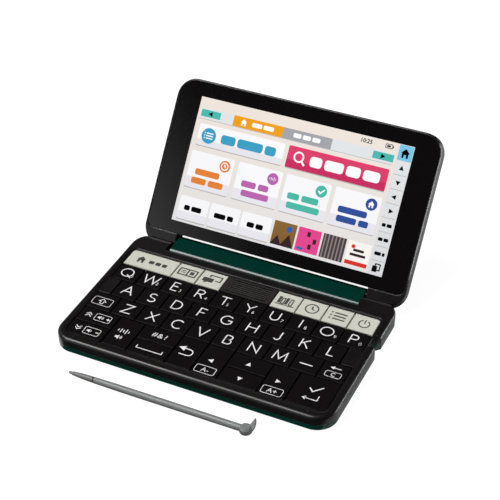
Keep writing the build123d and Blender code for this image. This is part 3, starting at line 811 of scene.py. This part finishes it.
def sound_bars(size):
    """Upright bars of many heights, like a recorded voice."""
    shapes = []
    for n, high in enumerate((0.35, 0.8, 0.5, 1.0, 0.4)):
        shapes += panel(((n - 2.17) * 0.4, -high / 2), ((n - 1.83) * 0.4, high / 2))
    return sized(size, shapes)


def turn_back(size, width):
    """An arrow that turns back on itself."""
    hook = arc((0.1, 0.0), 0.34, -90, 90, 10)
    shapes = line([(-0.55, -0.34)] + hook + [(-0.3, 0.34)], width / size)
    return sized(size, shapes + moved(arrow_head(0.34, 180), -0.5, 0.34))


def enter_arrow(size, width):
    """The return arrow."""
    shapes = line([(0.75, 0.45), (0.75, -0.25), (-0.7, -0.25)], width / size)
    head = line([(-0.42, -0.02), (-0.75, -0.25), (-0.42, -0.48)], width / size)
    return sized(size, shapes + head)


def check_mark(size, width):
    """A tick."""
    return sized(size, line([(-0.5, 0.02), (-0.12, -0.36), (0.62, 0.42)], width / size))


print("the drawing kit is ready")

# %% [markdown]
# ## The legends
#
# Letters are six and a half millimetres high, with a thin even stroke. In the top letter
# row each letter moves a little to the left and leaves room for a small digit. The ink is a
# little duller than the key and stands a few hundredths of a millimetre above it.

# %% Legend inks
# Thick matt inks: they keep their colour from every side and hide the plastic's gloss.
white_ink = moulded("white_pad_print_ink", "#e9e8ea", 0.45, 1.5, 0.3, 0.004, edge_mm=0.01,
                    shade=0.03)
dark_ink = moulded("dark_grey_pad_print_ink", "#3c3a35", 0.5, 1.5, 0.3, 0.004, edge_mm=0.01,
                   shade=0.05)

letter_height = 6.5
letter_stroke = 0.60
digit_height = 2.2
stroke = 0.38
box_stroke = 0.27
letter_lift = 0.1
letter_shift = 0.1
top_row_shift = -0.4
bottom_row_lift = -0.1
digit_lift = -1.85
digit_reach = {"q": 3.7, "w": 4.2, "e": 3.4, "r": 4.0, "t": 2.4, "y": 2.6, "u": 4.4, "i": 3.0,
               "o": 4.7, "p": 4.0}     # how far each digit stands to the right of its letter


def on_key(name):
    """The plane on top of a key, with the key's middle as its origin."""
    low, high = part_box("key_" + name)
    return Matrix.Translation(((low.x + high.x) / 2, (low.y + high.y) / 2, high.z))


def boxed(shapes, half_width, half_height, x, y):
    """A drawing with a rounded box round it."""
    outline = box_outline((-half_width, -half_height), (half_width, half_height), 1.0, box_stroke)
    return moved(shapes + outline, x, y)


print("letters", letter_height, "mm high")

# %% Legends
legends = {}
for names, shift, lift in (("qwertyuiop", top_row_shift, letter_lift),
                           ("asdfghjkl", letter_shift, letter_lift),
                           ("zxcvbnm", letter_shift, bottom_row_lift)):
    for name in names:
        legends[name] = drawn_letter(capitals[name.upper()], letter_height, letter_stroke,
                                     shift, lift)
for digit, name in zip("1234567890", "qwertyuiop"):
    legends[name] += letter(digit, digit_height, top_row_shift + digit_reach[name], digit_lift,
                            -0.01)
legends["dash"] = panel((-3.5, -0.9), (3.0, -0.25), 0.25)
legends["shift"] = boxed(up_outline(3.6, stroke), 5.0, 2.7, -0.5, -0.2)
legends["delete"] = moved(arrow_head(1.3, 180), -1.5, 2.5) + line([(-1.5, 2.5), (2.6, 2.5)], 0.5)
legends["delete"] += boxed(letter("C", 2.3, 0, 0), 3.8, 1.8, 0.2, -1.9)
for name, up in (("page_up", 1), ("page_down", -1)):
    legends[name] = moved(double_chevron(2.2, up), -4.9, 0.2)
    sign = panel((2.0, -0.25), (3.6, 0.25))
    if up > 0:
        sign += panel((2.55, -0.8), (3.05, 0.8))
    speaker = moved(loudspeaker(1.6, 2 if up > 0 else 1), -1.1, 0)
    legends[name] += boxed(speaker + sign, 4.1, 2.4, 2.7, 0.1)
legends["voice"] = moved(sound_bars(3.4), -0.4, 1.4) + moved(loudspeaker(1.9, 2), -0.7, -3.2)
legends["symbols"] = [shape for sign, x in (("#", -2.6), ("&", 0.4), ("?", 3.2))
                      for shape in letter(sign, 3.2, x, 0.2)]
legends["space"] = line([(-6.6, 1.0), (-6.6, -0.8), (6.6, -0.8), (6.6, 1.0)], 0.5)
legends["back"] = moved(turn_back(6.2, 0.55), 0.1, 0.6)
for name, turn, text in (("left", 180, "A-"), ("right", 0, "A+")):
    legends[name] = moved(arrow_head(1.55, turn), -0.6, 0.1)
    legends[name] += boxed(letter(text, 2.9, 0, 0), 5.0, 2.4, -0.4, -6.6)
legends["up"] = moved(arrow_head(1.55, 90), -0.4, -0.4)
legends["down"] = moved(arrow_head(1.55, 270), -0.4, -0.2)
legends["enter"] = moved(check_mark(5.4, 0.62), 0.2, 2.4)
legends["enter"] += moved(enter_arrow(4.6, 0.42), 0.2, -3.2)
for name, shapes in legends.items():
    ink("legend_" + name, shapes, on_key(name), white_ink, "key_" + name)

dark_legends = {
    "home": moved(house(4.9), -6.0, 0.0) + bars([[2.9, 2.9, 2.6]], 2.4, 0.8, 3.4, -0.2),
    "subject_a": open_book(6.2, 0.75),
    "subject_b": speech_pair(6.2, 0.75),
    "bookshelf": book_row(6.0, 0.6),
    "history": clock(6.4, 0.7),
    "contents": bullet_list(6.0, 0.85),
    "power": power_mark(5.2, 0.6),
}
for name, shapes in dark_legends.items():
    ink("legend_" + name, shapes, on_key(name), dark_ink, "key_" + name)
print("printed", len(legends) + len(dark_legends), "legends")

# %% [markdown]
# ## The display
#
# A lit liquid-crystal display gives off its own light, so its colours are emission and don't
# depend on the studio. A fine dark grid between the pixels and a slow fall of brightness
# towards the edges keep it from looking like paper. Next to studio light a real display is
# dim, and its picture is exposed by itself, so its glow is kept off the parts around it. The
# menu is a plain one: tabs, tiles with round icons, small pictures and a column of touch
# buttons, and bars stand where a menu would have words. Each colour is one layer, and later
# layers lie on earlier ones.

# %% Pixels
pixel_pitch_mm = 0.36     # drawn three times as coarse as the real pitch, so that it can show
unit_bands = 3.2          # a wave texture has about this many bands in one unit, at scale one
backlight = 1.0
cloudiness = 0.06
menu_foot, menu_head = 14.0 * MM, 66.0 * MM


def lit(name, colour, fade):
    """A lit patch of the display. It may fade to a second colour towards its lower edge."""
    material, tree = new_material("lit_display_" + name)
    grid = on_part(tree, "ShaderNodeTexWave",
                   {"Scale": 1 / (pixel_pitch_mm * MM) / unit_bands}, bands_direction="X")
    uneven = on_part(tree, "ShaderNodeTexNoise", {"Scale": 25.0, "Detail": 1.0})
    axes = on_part(tree, "ShaderNodeSeparateXYZ")
    height = add(tree, "ShaderNodeMapRange", {"From Min": menu_foot, "From Max": menu_head},
                 {"Value": axes.outputs["Z"]})
    hue = add(tree, "ShaderNodeMix", {"A": linear(fade or colour), "B": linear(colour)},
              {"Factor": height.outputs["Result"]}, data_type="RGBA")
    mask = add(tree, "ShaderNodeMapRange", {"To Min": 0.95 * backlight, "To Max": backlight},
               {"Value": grid.outputs[1]})
    glow = add(tree, "ShaderNodeMath", {1: cloudiness}, {0: uneven.outputs[0]},
               operation="MULTIPLY")
    power = add(tree, "ShaderNodeMath", links={0: mask.outputs["Result"], 1: glow.outputs[0]},
                operation="ADD")
    close_material(tree, "ShaderNodeEmission",
                   links={"Color": hue.outputs["Result"], "Strength": power.outputs[0]})
    return material


print("pixel pitch", pixel_pitch_mm, "mm")

# %% Menu layers
layer_step = 0.025
screen_layers = []


def show(name, colour, shapes, fade=None):
    """Adds one colour of the menu, above the layers that are already there."""
    level = window_front + layer_step * (len(screen_layers) + 1)
    place = lid_frame @ Matrix.Translation((-screen_width / 2 * MM, screen_lift * MM, level * MM))
    piece = ink("screen_" + name, shapes, place, lit(name, colour, fade), "lid",
                layer_step * 0.8)
    piece.visible_glossy = False
    piece.visible_diffuse = False
    screen_layers.append(piece)


def tile(left, bottom, width, height, corner=0.7):
    """A rounded tile, given by its lower left corner and its size."""
    return panel((left, bottom), (left + width, bottom + height), corner)


strip_left = 107.6
wide_y = 40.4
wide_height = 11.0
list_tile = (2.8, 47.6)        # left edge and width
search_tile = (52.6, 53.0)
card_y = 18.4
card_height = 18.8
card_width = 24.2
card_lefts = (2.1, 28.8, 55.1, 81.6)
card_colours = (("orange", "#e4823a"), ("purple", "#b866ae"), ("teal", "#4fb9a6"),
                ("navy", "#33509a"))
foot_y = 1.6
foot_height = 12.0
button_width = 16.4
button_lefts = (2.1, 19.6, 37.1)
thumb_width = 12.2
thumb_lefts = (55.1, 68.3, 81.5, 94.7)
tab_y, tab_height = 53.9, 5.4
arrow_tab_y, arrow_tab_width, arrow_tab_height = 55.0, 10.8, 3.6


def card_badge(number):
    """The middle of a card's round badge."""
    return card_lefts[number] + card_width - 4.6, card_y + card_height - 4.4


def white_tiles(heights, drops=(0, 0, 0)):
    """The list tile, the cards and the buttons, with a height and a drop for each of the three."""
    shapes = tile(list_tile[0], wide_y - drops[0], list_tile[1], heights[0])
    for left in card_lefts:
        shapes += tile(left, card_y - drops[1], card_width, heights[1])
    for left in button_lefts:
        shapes += tile(left, foot_y - drops[2], button_width, heights[2])
    return shapes


full_heights = (wide_height, card_height, foot_height)
show("ground", "#efe5dc", tile(0, 0, screen_width, screen_height, 0), fade="#e2e1e2")
strips = tile(strip_left, 0, screen_width - strip_left, 56.8, 0)
strips += tile(2.0, tab_y, strip_left - 3.4, tab_height, 0)
show("strip", "#e4e7e9", strips, fade="#dadadc")
shadows = white_tiles(full_heights, drops=(0.5, 0.5, 0.6))
shadows[1:1] = tile(search_tile[0], wide_y - 0.5, search_tile[1], wide_height)
show("shadow", "#b9b5b2", shadows)
show("white", "#fbfbfc", white_tiles(full_heights), fade="#f4f4f7")
show("tile_foot", "#e6e6ec", white_tiles((3.2, 5.5, 4.0)))
show("pink", "#e0446f", tile(search_tile[0], wide_y, search_tile[1], wide_height), fade="#d23a67")
show("pink_foot", "#c83262", tile(search_tile[0], wide_y, search_tile[1], 4.2))
show("orange_tab", "#f0a21f", tile(20.0, tab_y, 27.4, tab_height, 0))
show("grey_tab", "#a5a6ab", tile(47.4, tab_y, 26.3, tab_height, 0))
show("arrow_tabs", "#4fb9b0", [shape for left in (1.9, 95.4) for shape in tile(
    left, arrow_tab_y, arrow_tab_width, arrow_tab_height, 0)])
show("sky", "#7cc8e8", tile(strip_left + 0.1, 56.9, screen_width - strip_left - 0.2, 7.6, 0.3))
print("the ground and tiles take", len(screen_layers), "layers")

# %% Cards with a badge and two lines each
card_lines = (([13.6], [8.2, 8.2]), ([8.0, 5.6], [15.0]), ([6.4, 9.0], [17.6]),
              ([15.2], [10.4, 5.0]))
for number, (name, colour) in enumerate(card_colours):
    x = card_lefts[number] + card_width / 2
    first_line, second_line = card_lines[number]
    words = bars([first_line], 3.2, 1.3, x - 1.0, card_y + 8.6)
    words += bars([second_line], 3.2, 1.3, x, card_y + 4.0)
    show(name, colour, disc(card_badge(number), 3.0) + words)
list_middle = wide_y + wide_height / 2
cyans = disc((list_tile[0] + 6.2, list_middle), 4.0)
cyans += bars([[8.0, 14.0, 6.0]], 4.6, 1.2, list_tile[0] + 28.4, list_middle)
show("cyan", "#3f9fc4", cyans)
print(len(card_lefts), "cards")

# %% Small pictures and marks
hilly, blocky, ribbed, paper_note = thumb_lefts
for name, left, colour, fade in (("brown", hilly, "#a8834a", "#7d5a2e"),
                                 ("dark", ribbed, "#4a4142", None),
                                 ("pink", blocky, "#e2488f", None),
                                 ("paper", paper_note, "#f7f3ee", None)):
    show("thumb_" + name, colour, tile(left, foot_y, thumb_width, foot_height, 0), fade)
hills = [[(hilly, foot_y), (hilly + 6, foot_y), (hilly + 3, foot_y + 5.0)],
         [(hilly + 5, foot_y), (hilly + thumb_width, foot_y), (hilly + 9, foot_y + 6.5)]]
blocks = [(6.5, 2.0), (8.6, 5.0), (5.0, 8.0)]
darks = hills + [shape for x, y in blocks for shape in tile(blocky + x, foot_y + y, 1.7, 2.4, 0)]
darks += bars([[5.6], [8.2]], 1.3, 1.0, paper_note + thumb_width / 2, foot_y + 6.6)
show("thumb_marks", "#38262c", darks)
rib_lefts = [ribbed + 0.8 + 1.9 * n for n in range(6)]
ribs = [shape for left in rib_lefts for shape in tile(left, foot_y, 0.7, foot_height, 0)]
show("thumb_ribs", "#8d8282", ribs)
reds = tile(paper_note + 0.3, foot_y + 0.3, thumb_width - 0.6, 2.0, 0)
reds += disc((paper_note + 3.0, foot_y + 9.4), 1.0)
show("red", "#d8362e", reds)
blues = disc((hilly + 8.6, foot_y + 9.0), 1.5) + tile(blocky + 1.0, foot_y + 1.0, 3.4, 1.1, 0)
show("blue", "#2c62b4", blues)
tab_middle = tab_y + tab_height / 2
whites = moved(house(3.4), 26.0, tab_middle) + bars([[5.5, 5.5]], 2.2, 0.9, 36.6, tab_middle)
whites += bars([[4.2, 4.2, 4.2]], 2.2, 0.9, 60.6, tab_middle)
glass_x = search_tile[0] + 6.4
whites += line(disc((glass_x, list_middle + 0.6), 2.4, 24)[0], 0.8, True)
whites += line([(glass_x + 1.7, list_middle - 1.1), (glass_x + 3.6, list_middle - 3.0)], 1.0)
whites += bars([[6.4, 10.0, 7.4, 8.6]], 5.2, 1.5, search_tile[0] + 31.0, list_middle)
whites += moved(bullet_list(3.6, 0.55), list_tile[0] + 6.2, list_middle)
icons = (clock(3.6, 0.55), sound_bars(2.0), check_mark(2.8, 0.7), house(3.2))
for number, icon in enumerate(icons):
    whites += moved(icon, *card_badge(number))
show("white_marks", "#ffffff", whites)
blacks = letter("10:25", 2.1, 91.0, 62.3, 0.02)
blacks += box_outline((100.9, 61.3), (104.4, 63.2), 0.3, 0.35)
blacks += panel((101.5, 61.8), (103.4, 62.7)) + panel((104.6, 61.8), (105.0, 62.7))
blacks += moved(arrow_head(1.5, 180), 7.5, 56.8) + moved(arrow_head(1.5, 0), 100.6, 56.8)
for left, row in zip(button_lefts, ([3.2, 5.6], [6.4, 3.4], [4.0, 4.0])):
    blacks += bars([row], 2.6, 0.9, left + button_width / 2, foot_y + 6.2)
middle = (strip_left + screen_width) / 2
touch_pitch = 7.1
blacks += moved(house(4.6), middle, 60.6)
for n, turn in enumerate((90, 270, 180, 0)):
    blacks += moved(arrow_head(1.5, turn), middle, 53.2 - touch_pitch * n)
for n, row in enumerate(([2.0, 2.6], [2.4, 2.4], [3.4, 1.4])):
    blacks += bars([row], 1.7, 0.5, middle, 24.8 - touch_pitch * n)
blacks += tile(middle - 1.9, 1.6, 2.5, 3.0, 0.2)
blacks += box_outline((middle - 0.6, 2.6), (middle + 1.9, 5.6), 0.2, 0.6)
show("black_marks", "#0a0a0c", blacks)
rules = [shape for n in range(7)
         for shape in tile(strip_left + 0.4, 49.7 - touch_pitch * n, 6.6, 0.25, 0)]
rules += tile(1.5, 53.6, strip_left - 3.0, 0.25, 0)
show("rules", "#a9acb0", rules)
print("the menu has", len(screen_layers), "layers")

# %% [markdown]
# ## Screws and speaker cloth
#
# Four cross-head screws hold the case from below and one holds the battery door. They sit in
# recesses that the model has. Under the grille is a piece of black cloth that keeps dust off
# the speaker. Both are small, so simple forms with true proportions do.

# %% Screws
# Black zinc plating: dark metal, with spots where it is a little worn and glossier.
zinc, tree = new_material("black_zinc_plated_screw_steel")
stain = on_part(tree, "ShaderNodeTexNoise", {"Scale": 1500.0, "Detail": 3.0})
worn = add(tree, "ShaderNodeMapRange", {"To Min": 0.25, "To Max": 0.5},
           {"Value": stain.outputs[0]})
close_material(tree, "ShaderNodeBsdfPrincipled",
               {"Base Color": linear("#5c5c60"), "Metallic": 1.0},
               {"Roughness": worn.outputs["Result"]})

screw_radius, face_radius = 1.05, 0.9765
screw_height, screw_bevel = 0.5, 0.08
slot_length, slot_width, slot_depth = 0.75, 0.22, 0.35
screw_points = 12     # three for each arm of the cross


def screw(name, x, y, z, body):
    """A screw head that faces down, with a cross cut in it."""
    cross = []
    for turn in (0, 90, 180, 270):
        for radius, angle in ((slot_length, turn - 15), (slot_length, turn + 15),
                              (slot_width * sqrt(2), turn + 45)):
            cross.append((radius * cos(radians(angle)), radius * sin(radians(angle))))
    rim, face_rim = (arc((0, 0), radius, -15, 345, screw_points)[:-1]
                     for radius in (screw_radius, face_radius))
    builder = bmesh.new()
    rings = []
    for points, level in ((rim, screw_height), (rim, screw_bevel), (face_rim, 0.0),
                          (cross, 0.0), (cross, slot_depth)):
        rings.append([builder.verts.new((px * MM, py * MM, level * MM)) for px, py in points])
    for below, above in zip(rings, rings[1:]):
        for n in range(screw_points):
            after = (n + 1) % screw_points
            builder.faces.new((below[n], below[after], above[after], above[n]))
    builder.faces.new(rings[0])
    builder.faces.new(rings[-1])
    bmesh.ops.recalc_face_normals(builder, faces=builder.faces)
    mesh = bpy.data.meshes.new(name)
    builder.to_mesh(mesh)
    builder.free()
    mesh.transform(Matrix.Translation((x, y, z)))
    head = put_in_scene(name, mesh, zinc)
    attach(head, body)


screw_inset = 3.6 * MM
front_screws, rear_screws = 9.0 * MM, 74.4 * MM     # from the front of the case
case_screw_level, door_screw_level = 0.25 * MM, 0.08 * MM
for n, (side, depth) in enumerate(((-1, front_screws), (1, front_screws),
                                   (-1, rear_screws), (1, rear_screws))):
    screw(f"case_screw_{n + 1}", side * (case_high.x - screw_inset), case_low.y + depth,
          case_screw_level, "base")
door_low, door_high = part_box("battery_door")
door_screw_inset = 3.25 * MM
screw("door_screw", door_high.x - door_screw_inset, (door_low.y + door_high.y) / 2,
      door_screw_level, "base")
print("five screws")

# %% Speaker cloth
# Woven cloth: nearly black, with a faint pale bloom at a flat angle.
cloth, tree = new_material("black_speaker_cloth")
thread_mm = 0.25
unit_rows = 4     # a brick texture lays this many rows in one unit, at scale one
weave = on_part(tree, "ShaderNodeTexBrick", {"Scale": 1 / (thread_mm * MM) / unit_rows})
relief = add(tree, "ShaderNodeBump", {"Strength": 0.5, "Distance": 0.05 * MM},
             {"Height": weave.outputs[1]})
close_material(tree, "ShaderNodeBsdfPrincipled",
               {"Base Color": linear("#0d0c0c"), "Roughness": 0.95, "Sheen Weight": 0.2},
               {"Normal": relief.outputs["Normal"]})
cloth_half = (12.4, 4.8)
cloth_thickness = 0.15
cloth_place = Matrix.Translation((0, field_y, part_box("circuit_board")[1].z))
ink("speaker_cloth", panel((-cloth_half[0], -cloth_half[1]), cloth_half, 0.6), cloth_place,
    cloth, "base", cloth_thickness)
print("cloth", 2 * cloth_half[0], "by", 2 * cloth_half[1], "mm")
